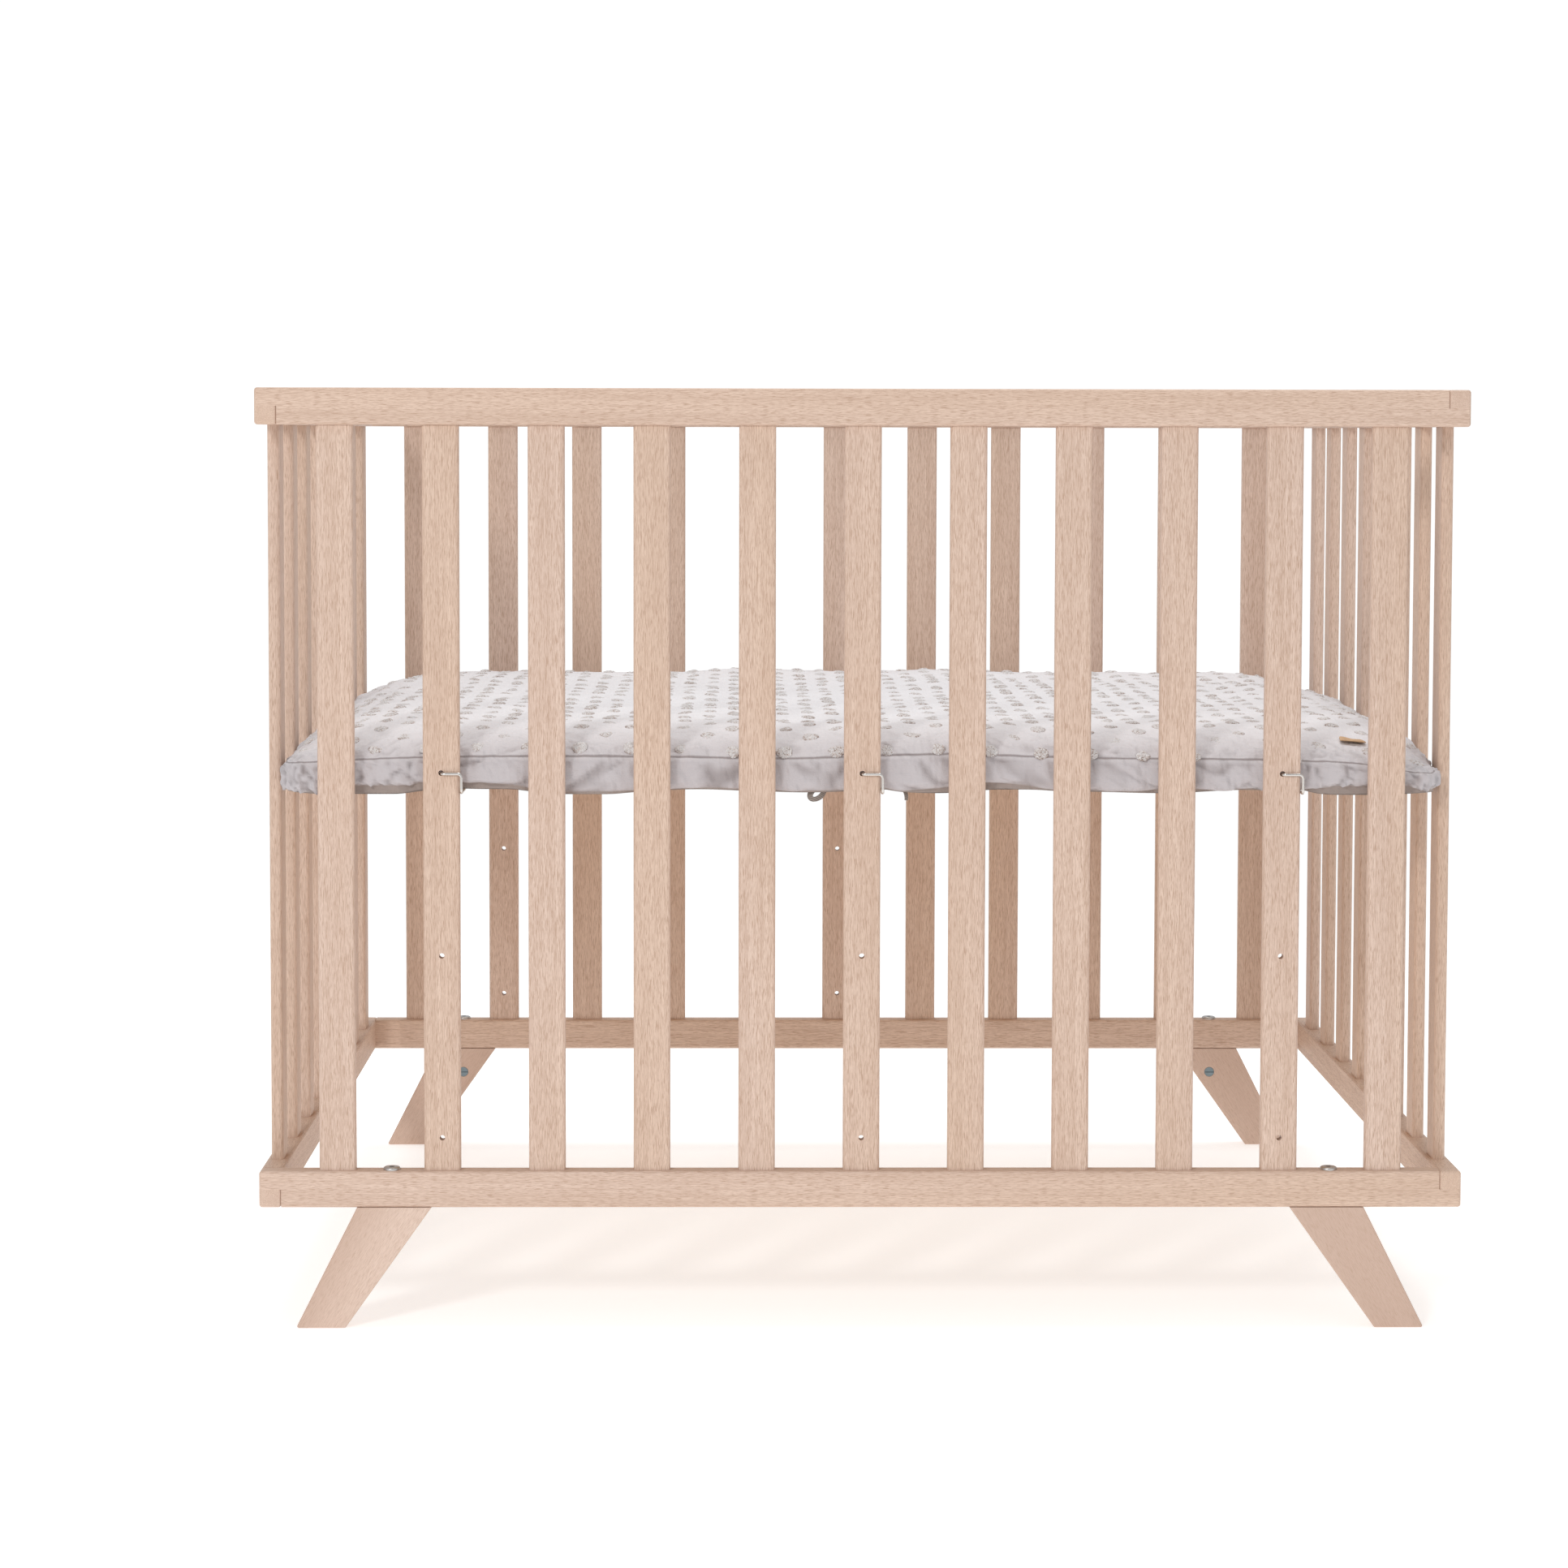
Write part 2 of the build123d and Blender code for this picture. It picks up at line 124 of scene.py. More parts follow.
# ---- tufts -------------------------------------------------------------------
TUFT_PITCH = 21 * MM            # the tufts stand on every other square of this grid
TUFT_RADIUS = 6.6 * MM
TUFT_HEIGHT = 2.1 * MM
TUFT_SINK = 0.9 * MM
TUFT_SEGMENTS = 18
TUFT_RINGS = (0.24, 0.46, 0.66, 0.82, 0.94, 1.0)
TUFT_EDGE_ROOM = 2.5 * MM
TUFT_TAG_ROOM = (15 * MM, 11 * MM)      # tufts keep this far from the tag's middle
TUFT_SHIFT = -11.4 * MM         # the pattern runs towards the front edge
TUFT_SKEW = -0.014              # and isn't quite square to it


# ------------------------------------------------------------------ materials
class Surface:
    """A node material being wired up around one Principled shader."""

    def __init__(self, name):
        self.material = bpy.data.materials.new(name)
        self.material.use_nodes = True
        self.tree = self.material.node_tree
        self.tree.nodes.clear()
        output = self.tree.nodes.new("ShaderNodeOutputMaterial")
        self.shader = self.tree.nodes.new("ShaderNodeBsdfPrincipled")
        self.tree.links.new(self.shader.outputs[0], output.inputs["Surface"])

    def put(self, node, socket, value):
        """Wire a socket to another node's output, or set its value."""
        if isinstance(value, bpy.types.NodeSocket):
            self.tree.links.new(value, node.inputs[socket])
        else:
            node.inputs[socket].default_value = value

    def node(self, kind, inputs, **settings):
        node = self.tree.nodes.new("ShaderNode" + kind)
        for key, value in settings.items():
            setattr(node, key, value)
        for socket, value in inputs.items():
            self.put(node, socket, value)
        return node.outputs[0]

    def set(self, **values):
        """Values and wires of the Principled shader; base_color means Base Color."""
        names = {
            "base_color": "Base Color",
            "coat": "Coat Weight",
            "coat_roughness": "Coat Roughness",
            "sheen": "Sheen Weight",
            "sheen_roughness": "Sheen Roughness",
            "specular": "Specular IOR Level",
        }
        for key, value in values.items():
            self.put(self.shader, names.get(key, key.capitalize()), value)

    def object_coords(self, rotation=(0, 0, 0), scale=(1, 1, 1)):
        """Object coordinates, turned first and then stretched."""
        coords = self.tree.nodes.new("ShaderNodeTexCoord").outputs["Object"]
        turned = self.node("Mapping", {"Vector": coords, "Rotation": rotation})
        return self.node("Mapping", {"Vector": turned, "Scale": scale})

    def attribute(self, name):
        """A value painted on the mesh's points."""
        self.node("Attribute", {}, attribute_name=name)
        return self.tree.nodes[-1].outputs["Fac"]

    def noise(self, vector, scale, detail=2.0, roughness=0.5):
        return self.node(
            "TexNoise",
            {"Vector": vector, "Scale": scale, "Detail": detail, "Roughness": roughness},
        )

    def ramp(self, factor, stops, smooth=False):
        """Colour ramp; stops are (position, colour), a grey colour may be one number."""
        node = self.tree.nodes.new("ShaderNodeValToRGB")
        node.color_ramp.interpolation = "EASE" if smooth else "LINEAR"
        elements = node.color_ramp.elements
        for index, (position, colour) in enumerate(stops):
            element = elements[index] if index < 2 else elements.new(position)
            element.position = position
            element.color = (*colour, 1) if isinstance(colour, tuple) else (colour,) * 3 + (1,)
        self.put(node, "Fac", factor)
        return node.outputs[0]

    def mix(self, factor, a, b, blend="MIX"):
        node = self.tree.nodes.new("ShaderNodeMix")
        node.data_type = "RGBA"
        node.blend_type = blend
        for socket, value in ((0, factor), (6, a), (7, b)):
            if isinstance(value, tuple):
                value = (*value, 1)
            self.put(node, socket, value)
        return node.outputs[2]

    def math(self, operation, a, b=0.0):
        return self.node("Math", {0: a, 1: b}, operation=operation)

    def bump(self, height, strength, distance):
        normal = self.node("Bump", {"Height": height, "Strength": strength, "Distance": distance})
        self.put(self.shader, "Normal", normal)


def wood(name, turn, light, dark, warm, figure=1.0):
    """Varnished beech; turn is the rotation that brings the grain onto Z."""
    s = Surface(name)
    board = s.noise(s.object_coords(turn, (11, 11, 0.8)), 1.0, detail=1.0)
    patch = s.noise(s.object_coords(turn, (70, 70, 4)), 1.0, detail=2.0)
    band = s.noise(s.object_coords(turn, (330, 330, 1.8)), 1.0, detail=2.0)
    fibre = s.noise(s.object_coords(turn, (1700, 1700, 24)), 1.0, detail=2.0, roughness=0.6)
    pores = s.noise(s.object_coords(turn, (2300, 2300, 130)), 1.0, detail=1.0)
    fine = s.noise(s.object_coords(turn, (3400, 3400, 170)), 1.0, detail=1.0)

    colour = s.mix(s.ramp(board, ((0.36, 0.0), (0.62, 1.0))), light, warm)
    growth = s.math("ADD", s.math("MULTIPLY", band, 0.5), s.math("MULTIPLY", patch, 0.5))
    colour = s.mix(s.ramp(growth, ((0.38, 0.27 * figure), (0.60, 0.0))), colour, dark)
    colour = s.mix(s.ramp(fibre, ((0.41, 0.0), (0.66, 0.34 * figure))), colour, dark)
    deep = s.ramp(pores, ((0.54, 0.0), (0.63, 0.80 * figure)))
    colour = s.mix(deep, colour, dark)
    colour = s.mix(s.ramp(fine, ((0.56, 0.0), (0.66, 0.55))), colour, dark)

    s.set(base_color=colour, coat=0.1, coat_roughness=0.4, specular=0.35)
    s.set(roughness=s.ramp(fibre, ((0.3, 0.48), (0.7, 0.62))))
    height = s.math("SUBTRACT", 0.5, s.math("ADD", s.math("MULTIPLY", deep, 0.7), fibre))
    s.bump(height, 0.2, 0.15 * MM)
    return s.material


def plywood(name):
    """Sanded plywood: wide flamed figure along the board."""
    s = Surface(name)
    flame = s.node(
        "TexWave",
        {"Vector": s.object_coords((0, 0, 0), (1.2, 9, 9)), "Scale": 1.4, "Distortion": 9.0,
         "Detail": 3.0, "Detail Scale": 1.2},
        bands_direction="Y",
    )
    fibre = s.noise(s.object_coords((0, 0, 0), (12, 700, 700)), 1.0, detail=3.0)
    colour = s.mix(s.ramp(flame, ((0.1, 0.0), (0.9, 1.0))), (0.50, 0.33, 0.19), (0.64, 0.46, 0.29))
    colour = s.mix(s.ramp(fibre, ((0.4, 0.0), (0.7, 0.5))), colour, (0.40, 0.26, 0.15))
    s.set(base_color=colour, roughness=s.ramp(fibre, ((0.3, 0.6), (0.7, 0.75))))
    s.bump(fibre, 0.25, 0.2 * MM)
    return s.material


def metal(name, colour, rough, brushed):
    """Plated steel with faint drawing marks and smudges."""
    s = Surface(name)
    smudge = s.noise(s.object_coords(), 90.0, detail=3.0)
    marks = s.noise(s.object_coords(scale=brushed), 1.0, detail=2.0)
    shade = s.ramp(smudge, ((0.3, 0.88), (0.7, 1.0)))
    s.set(base_color=s.mix(1.0, colour, shade, blend="MULTIPLY"), metallic=1.0)
    s.set(roughness=s.ramp(smudge, ((0.3, rough), (0.7, rough + 0.12))))
    s.bump(marks, 0.12, 0.05 * MM)
    return s.material


def cloth(name, thread, shadow, band, under, thread_and_crease_shade):
    """Fine plain weave; the side band gets painted shade, greyer than the top, and puckers along
    the seam.
    """
    s = Surface(name)
    warp, weft, rise = (
        s.node(
            "TexWave",
            {"Vector": s.object_coords(), "Scale": 55.0, "Distortion": 1.5, "Detail": 1.0},
            bands_direction=direction,
        )
        for direction in "XYZ"
    )
    slub = s.noise(s.object_coords(scale=(60, 900, 900)), 1.0, detail=2.0)
    slub_across = s.noise(s.object_coords(scale=(900, 60, 900)), 1.0, detail=2.0)
    mottle = s.noise(s.object_coords(), 22.0, detail=4.0, roughness=0.6)
    threads = s.math("ADD", s.math("MULTIPLY", warp, 0.34), s.math("MULTIPLY", weft, 0.33))
    threads = s.math("ADD", threads, s.math("MULTIPLY", rise, 0.33))
    slubs = s.math("MULTIPLY", s.math("ADD", slub, slub_across), 0.5)
    panel, seam = s.attribute("panel"), s.attribute("seam")
    colour = s.mix(s.ramp(mottle, ((0.35, 0.2), (0.65, 0.0))), thread, shadow)
    colour = s.mix(s.ramp(slubs, ((0.50, 0.0), (0.66, 0.25))), colour, shadow)
    # painted shade: the panel value greys the side band and the top beside the seam towards the
    # band colour
    colour = s.mix(s.ramp(panel, ((0.0, 0.0), (1.0, 1.0))), colour, band)
    # painted shade: the strip set back under the band takes the dark under colour
    strip_shade = s.ramp(s.math("SUBTRACT", panel, 1.0), ((0.05, 0.0), (0.85, 0.9)))
    colour = s.mix(strip_shade, colour, under)
    # painted shade in the creases of the puckers
    colour = s.mix(s.ramp(s.attribute("crease_shade"), ((0.05, 0.0), (0.8, 0.55))), colour, thread_and_crease_shade)
    # the seam line: dark thread, with painted shade in the seam's groove
    colour = s.mix(s.ramp(seam, ((0.72, 0.0), (0.93, 0.8))), colour, thread_and_crease_shade)
    s.set(base_color=colour, roughness=s.ramp(threads, ((0.2, 0.95), (0.8, 0.82))))
    s.set(sheen=0.15, sheen_roughness=0.5, specular=0.2)

    upright = s.noise(s.object_coords((0, 0.2, 0), (75, 75, 16)), 1.0, detail=2.0)
    slanted = s.noise(s.object_coords((0.5, 0.75, 0), (70, 45, 12)), 1.0, detail=1.0)
    folds = s.math("ADD", s.math("MULTIPLY", upright, 0.5), s.math("MULTIPLY", slanted, 0.9))
    pucker = s.math("MULTIPLY", folds, s.ramp(panel, ((0.05, 0.12), (0.7, 1.0))))
    thin = s.math("ADD", s.math("MULTIPLY", threads, 0.05), s.math("MULTIPLY", slubs, 0.08))
    s.bump(s.math("ADD", pucker, thin), 1.0, 8 * MM)
    return s.material


def chenille(name):
    """Looped pile: pale tips, with painted shade in warm beige towards the base and between the
    loops, by the height in the pile.
    """
    s = Surface(name)
    height = s.attribute("pile")
    loops = s.ramp(s.noise(s.object_coords(), 850.0, detail=1.0), ((0.38, 0.0), (0.62, 1.0)))
    pile_shading = s.math("ADD", s.math("MULTIPLY", height, 0.62), s.math("MULTIPLY", loops, 0.38))
    # painted shade: the ground colour sits between the loops, the middle colour towards the rim;
    # the tips keep the pale tuft colour
    ground, middle, tips = (0.29, 0.215, 0.18), (0.58, 0.495, 0.46), (0.78, 0.755, 0.75)
    colour = s.ramp(pile_shading, ((0.06, ground), (0.30, middle), (0.58, tips)))
    s.set(base_color=colour, roughness=s.ramp(loops, ((0.3, 1.0), (0.7, 0.9))))
    s.set(sheen=0.3, sheen_roughness=0.4, specular=0.15)
    s.bump(loops, 0.8, 0.9 * MM)
    return s.material


def leather(name):
    """Plain tan leather with a pebbled grain."""
    s = Surface(name)
    cells = s.node("TexVoronoi", {"Vector": s.object_coords(), "Scale": 1100.0})
    patina = s.noise(s.object_coords(), 160.0, detail=3.0)
    worn = s.ramp(patina, ((0.3, 0.0), (0.7, 1.0)))
    colour = s.mix(worn, (0.50, 0.31, 0.17), (0.62, 0.42, 0.25))
    s.set(base_color=colour, roughness=s.ramp(cells, ((0.0, 0.62), (0.5, 0.5))), specular=0.35)
    s.bump(cells, 0.4, 0.3 * MM)
    return s.material


def tape(name, colour, shadow):
    """Ribbed twill tape."""
    s = Surface(name)
    rib = s.node("TexWave", {"Vector": s.object_coords((0, 0.6, 0.4)), "Scale": 260.0,
                             "Distortion": 0.6}, bands_direction="DIAGONAL")
    fuzz = s.noise(s.object_coords(), 1400.0, detail=2.0)
    s.set(base_color=s.mix(s.ramp(rib, ((0.2, 0.0), (0.8, 1.0))), shadow, colour))
    s.set(roughness=s.ramp(fuzz, ((0.3, 0.85), (0.7, 0.95))), sheen=0.2, specular=0.2)
    s.bump(s.math("ADD", rib, fuzz), 0.5, 0.25 * MM)
    return s.material


# ------------------------------------------------------------------ small tools
def make_object(name, points, faces, material):
    """A smooth shaded mesh object from points and faces, with one material."""
    mesh = bpy.data.meshes.new(name)
    mesh.from_pydata([tuple(point) for point in points], [], faces)
    mesh.materials.append(material)
    mesh.polygons.foreach_set("use_smooth", [True] * len(mesh.polygons))
    mesh.update()
    piece = bpy.data.objects.new(name, mesh)
    bpy.context.collection.objects.link(piece)
    return piece


def apply_modifiers(piece):
    """Replace the mesh by what its modifiers make of it."""
    depsgraph = bpy.context.evaluated_depsgraph_get()
    made = bpy.data.meshes.new_from_object(piece.evaluated_get(depsgraph))
    piece.modifiers.clear()
    piece.data = made


def coordinates(mesh):
    """The mesh's points as an array of rows."""
    flat = np.empty(len(mesh.vertices) * 3)
    mesh.vertices.foreach_get("co", flat)
    return flat.reshape(-1, 3)


def set_coordinates(mesh, points):
    mesh.vertices.foreach_set("co", points.reshape(-1))
    mesh.update()


# ------------------------------------------------------------------ mat
def crown(inwards):
    """Height of the rounded edge, 0 to 1, at a share of its width inwards from the seam."""
    return (1 - (1 - inwards) ** CROWN_ROUND[0]) ** CROWN_ROUND[1]


def crown_table(half):
    """Cloth length from the middle against the distance it reaches, over one crown."""
    flat = half - CROWN_REACH
    share = np.linspace(0, 1, 400)
    out = flat + CROWN_REACH * share
    steps = np.hypot(np.diff(out), np.diff(CROWN_RISE * crown(1 - share)))
    length = flat + np.concatenate(([0], np.cumsum(steps)))
    return np.concatenate(([0], length)), np.concatenate(([0], out))


CROWNS = [crown_table(half) for half in MAT_FULL]
CLOTH_HALF = [lengths[-1] for lengths, _ in CROWNS]


def round_corner(x, y):
    """Move a point of the mat's rectangle so that the corners are round."""
    straight = [full - MAT_CORNER for full in MAT_FULL]
    in_x = (np.abs(x) - straight[0]) / MAT_CORNER
    in_y = (np.abs(y) - straight[1]) / MAT_CORNER
    corner = (in_x > 0) & (in_y > 0)
    safe_x = np.where(corner, in_x, 0)
    safe_y = np.where(corner, in_y, 0)
    disc_x = safe_x * np.sqrt(1 - safe_y ** 2 / 2)
    disc_y = safe_y * np.sqrt(1 - safe_x ** 2 / 2)
    new_x = np.where(corner, np.sign(x) * (straight[0] + disc_x * MAT_CORNER), x)
    new_y = np.where(corner, np.sign(y) * (straight[1] + disc_y * MAT_CORNER), y)
    return new_x, new_y


def edge_distance(x, y):
    """Distance from a point to the mat's rounded outline at the seam."""
    out_x = np.abs(x) - (MAT_FULL[0] - MAT_CORNER)
    out_y = np.abs(y) - (MAT_FULL[1] - MAT_CORNER)
    beyond = np.hypot(np.maximum(out_x, 0), np.maximum(out_y, 0))
    inside = np.minimum(np.maximum(out_x, out_y), 0)
    return MAT_CORNER - beyond - inside


def corner_share(x, y, spread=CORNER_SPREAD):
    """1 at a corner of the mat, falling away to 0 along its edges."""
    from_x = (MAT_HALF[0] - np.abs(x)) / spread
    from_y = (MAT_HALF[1] - np.abs(y)) / spread
    return np.exp(-(from_x ** 2 + from_y ** 2))


def waves(x, y):
    """Soft rises and hollows of the wadding, from seeded noise."""
    low = np.array([noise.noise(Vector((px * 5.5, py * 6.5, SEED))) for px, py in zip(x, y)])
    fine = np.array([noise.noise(Vector((px * 17, py * 20, SEED + 7))) for px, py in zip(x, y)])
    puff = np.array([noise.noise(Vector((px * 36, py * 36, SEED + 11))) for px, py in zip(x, y)])
    return low + 0.4 * fine + PUFF / WAVE_HEIGHT * puff


def puckers(points):
    """Rounded puffs between sharp creases that lean towards the corners, about 0 on average."""
    heights = []
    for x, y, z in points:
        along = (x / MAT_HALF[0]) ** 8
        beside = (y / MAT_HALF[1]) ** 8
        front = beside / (along + beside + 1e-6)
        slope_x = FOLD_LEAN * z * x / MAT_HALF[0] * front
        slope_y = FOLD_LEAN * z * y / MAT_HALF[1] * (1 - front)
        broad = Vector((x * FOLD_BROAD - slope_x, y * FOLD_BROAD - slope_y, z * 9 + SEED))
        narrow = Vector((
            x * FOLD_NARROW - slope_x * 2.2, y * FOLD_NARROW - slope_y * 2.2, z * 30,
        ))
        rise = 2.6 * abs(noise.noise(broad)) + 2.2 * abs(noise.noise(narrow))
        heights.append(rise - FOLD_FLOOR)
    return np.array(heights)


def hem_sag(seam):
    """How far the hem hangs below the board under each point of the seam, 0 to 1."""
    sags = []
    for x, y, _ in seam:
        sag = 0.40 + 1.5 * noise.noise(Vector((x * 11, y * 11, SEED + 3)))
        sag += 0.5 * max(abs(x) / MAT_HALF[0] - 0.72, 0) / 0.28
        sag = min(max(sag, 0.08), 1)
        for arm_x, side in HOOK_ARMS:
            if (y < 0) == (side == "front") and abs(y) > MAT_HALF[1] - 10 * MM:
                sag *= 1 - math.exp(-(((x - arm_x) / (8 * MM)) ** 4))
        sags.append(sag)
    return np.array(sags)


def lip_rise(seam):
    """How far the band rides up off the strip under each point of the seam, 0 to 1."""
    rises = []
    for x, y, _ in seam:
        near = corner_share(x, y, 2.4 * PULL_SPREAD) - 1.6 * corner_share(x, y, 0.8 * PULL_SPREAD)
        rises.append(0.22 + 1.3 * noise.noise(Vector((x * 10, y * 10, SEED + 9))) + near)
    return np.clip(rises, 0.12, 1)


def top_grid():
    """Points of the top panel, out to the seam, and how many there are each way."""
    counts = [int(round(2 * half / CLOTH_STEP)) + 1 for half in CLOTH_HALF]
    u = np.linspace(-CLOTH_HALF[0], CLOTH_HALF[0], counts[0])
    v = np.linspace(-CLOTH_HALF[1], CLOTH_HALF[1], counts[1])
    x = np.sign(u) * np.interp(np.abs(u), *CROWNS[0])
    y = np.sign(v) * np.interp(np.abs(v), *CROWNS[1])
    grid_x, grid_y = (axis.reshape(-1) for axis in np.meshgrid(x, y, indexing="ij"))
    grid_x, grid_y = round_corner(grid_x, grid_y)
    in_x = np.clip((MAT_FULL[0] - np.abs(grid_x)) / CROWN_REACH, 0, 1)
    in_y = np.clip((MAT_FULL[1] - np.abs(grid_y)) / CROWN_REACH, 0, 1)
    in_edge = np.clip(edge_distance(grid_x, grid_y) / CROWN_REACH, 0, 1)
    in_both = np.minimum(in_edge, np.minimum(in_x, in_y))
    rise = crown(in_both) * np.sqrt(1 - 0.4 * (1 - in_x) ** 2 * (1 - in_y) ** 2)
    corner = corner_share(grid_x, grid_y)
    drift = np.array([
        noise.noise(Vector((px * 7, py * 7, SEED + 5))) for px, py in zip(grid_x, grid_y)
    ])
    grid_z = SEAM_Z + SEAM_DRIFT * drift - SEAM_DIP * corner
    grid_z += (CROWN_RISE - CORNER_DROOP * corner) * rise
    grid_z += BACK_RISE * rise * (0.5 + 0.5 * grid_y / MAT_FULL[1]) * (1 - corner)
    grid_z += WAVE_HEIGHT * waves(grid_x, grid_y) * np.sqrt(in_both)
    pulled = (grid_x > 0) & (grid_y < 0)
    grid_z -= CORNER_PULL * pulled * corner_share(grid_x, grid_y, PULL_SPREAD)
    return np.stack([grid_x, grid_y, grid_z], axis=1), counts


def mat_skin():
    """Points and faces of the cover: a top panel and a side band, joined at the seam."""
    top, counts = top_grid()

    def at(i, j):
        return i * counts[1] + j

    last_i, last_j = counts[0] - 1, counts[1] - 1
    ring = [at(i, 0) for i in range(last_i)]
    ring += [at(last_i, j) for j in range(last_j)]
    ring += [at(i, last_j) for i in range(last_i, 0, -1)]
    ring += [at(0, j) for j in range(last_j, 0, -1)]
    faces = [
        (at(i, j), at(i + 1, j), at(i + 1, j + 1), at(i, j + 1))
        for i in range(last_i)
        for j in range(last_j)
    ]

    points = [top]
    above = ring
    seam = top[ring]
    outwards = np.stack(
        [(seam[:, 0] / MAT_FULL[0]) ** 9, (seam[:, 1] / MAT_FULL[1]) ** 9], axis=1
    )
    outwards /= np.linalg.norm(outwards, axis=1, keepdims=True) + 1e-9
    bottom = HEM_Z - HEM_SAG * hem_sag(seam)
    lip = bottom + LIP_RISE * lip_rise(seam)
    for row in range(1, BAND_ROWS + 1):
        part = row / LIP_ROW
        if row <= LIP_ROW:
            level = seam[:, 2] + (lip - seam[:, 2]) * part
            bulge = BAND_BULGE * math.sin(0.82 * math.pi * part ** 0.8)
        else:
            level = lip + (bottom - lip) * ((row - LIP_ROW) / (BAND_ROWS - LIP_ROW)) ** 2
            bulge = -STRIP_BACK
        plane = seam[:, :2] + outwards * bulge
        start = sum(len(block) for block in points)
        below = list(range(start, start + len(ring)))
        points.append(np.column_stack([plane, level]))
        faces += [
            (above[k], below[k], below[(k + 1) % len(ring)], above[(k + 1) % len(ring)])
            for k in range(len(ring))
        ]
        above = below
    return np.concatenate(points), faces, counts, ring, above


def foam_core(points, faces):
    """Collision body under the cover: the cover's own shape, a little smaller."""
    core = points.copy()
    core[:, 0] *= 1 - FOAM_INSET / MAT_HALF[0]
    core[:, 1] *= 1 - FOAM_INSET / MAT_HALF[1]
    core[:, 2] -= FOAM_INSET
    foam = make_object("foam_core", core, faces, bpy.data.materials.new("foam_core"))
    foam.modifiers.new("Collision", "COLLISION")
    foam.collision.thickness_outer = 1.2 * MM
    foam.collision.cloth_friction = 12
    foam.collision.damping = 0.6
    return foam


def drape(cover, foam, held):
    """Let the loose cover settle on the foam; held is the pin weight of each point."""
    group = cover.vertex_groups.new(name="held")
    for index, weight in enumerate(held):
        if weight > 0:
            group.add([index], float(weight), "REPLACE")
    modifier = cover.modifiers.new("Cloth", "CLOTH")
    settings = modifier.settings
    settings.quality = 5
    settings.mass = 0.15
    settings.tension_stiffness = 12
    settings.compression_stiffness = 12
    settings.shear_stiffness = 4
    settings.bending_stiffness = 0.35
    settings.air_damping = 2
    settings.shrink_min = -CLOTH_GROWTH
    settings.vertex_group_mass = "held"
    settings.use_pressure = True
    settings.uniform_pressure_force = 0.35
    modifier.collision_settings.distance_min = 1.2 * MM
    modifier.collision_settings.collision_quality = 2
    modifier.point_cache.frame_start = 1
    modifier.point_cache.frame_end = CLOTH_FRAMES
    for step in range(1, CLOTH_FRAMES + 1):
        bpy.context.scene.frame_set(step)
    settled = coordinates(cover.evaluated_get(bpy.context.evaluated_depsgraph_get()).data)
    cover.modifiers.remove(modifier)
    cover.vertex_groups.clear()
    bpy.context.scene.frame_set(1)
    bpy.data.objects.remove(foam)
    return settled


def fold(cover, before, after, first_band_point):
    """The cover with the settled folds, as capped moves along its own normals."""
    normals = np.empty(len(before) * 3)
    cover.data.vertices.foreach_get("normal", normals)
    normals = normals.reshape(-1, 3)
    out = np.sum((after - before) * normals, axis=1)
    out[first_band_point:] *= BAND_MOVE
    out = CLOTH_CAP * np.tanh(out / CLOTH_CAP)
    return before + normals * out[:, None]


def close_under(cover):
    """Turn the hem up to the board's underside edge and close the mat over the board."""
    made = bmesh.new()
    made.from_mesh(cover.data)
    for height, inset in ((BOARD_LOW.z + 1 * MM, 0.2 * MM), (BOARD_HIGH.z + 0.3 * MM, 0.1 * MM)):
        border = [edge for edge in made.edges if edge.is_boundary]
        new = bmesh.ops.extrude_edge_only(made, edges=border)
        for item in new["geom"]:
            if isinstance(item, bmesh.types.BMVert):
                item.co.x *= 1 - inset / MAT_HALF[0]
                item.co.y *= 1 - inset / MAT_HALF[1]
                item.co.z = height
    border = [edge for edge in made.edges if edge.is_boundary]
    bmesh.ops.contextual_create(made, geom=border)
    bmesh.ops.recalc_face_normals(made, faces=made.faces)
    made.to_mesh(cover.data)
    made.free()
    cover.data.polygons.foreach_set("use_smooth", [True] * len(cover.data.polygons))


def keep_inside(points):
    """Hold the points back to the room between the pen's panels."""
    for axis, most in enumerate(MAT_MOST):
        points[:, axis] = np.clip(points[:, axis], -most, most)


def crease_cover(cover):
    """Puckers in the finer mesh: most in the band and beside the seam, none on the seam."""
    points = coordinates(cover.data)
    normals = np.empty(len(points) * 3)
    panel, seam = np.empty(len(points)), np.empty(len(points))
    cover.data.vertices.foreach_get("normal", normals)
    cover.data.attributes["panel"].data.foreach_get("value", panel)
    cover.data.attributes["seam"].data.foreach_get("value", seam)
    on_top = np.clip(panel / TOP_SHADE, 0, 1) ** 1.5 * 0.8
    share = np.where(panel < 0.9, on_top, np.clip(2 - panel, 0, 1)) * (1 - seam)
    moved = share > 0.02
    heights = np.zeros(len(points))
    heights[moved] = puckers(points[moved])
    points += normals.reshape(-1, 3) * (FOLD_HEIGHT * share * heights)[:, None]
    # painted shade for the creases, deepest at the bottom of each fold
    crease_shade = share * np.clip(1 - (heights + FOLD_FLOOR) / VALLEY_DEPTH, 0, 1)
    cover.data.attributes.new("crease_shade", "FLOAT", "POINT").data.foreach_set("value", crease_shade)
    keep_inside(points)
    set_coordinates(cover.data, points)


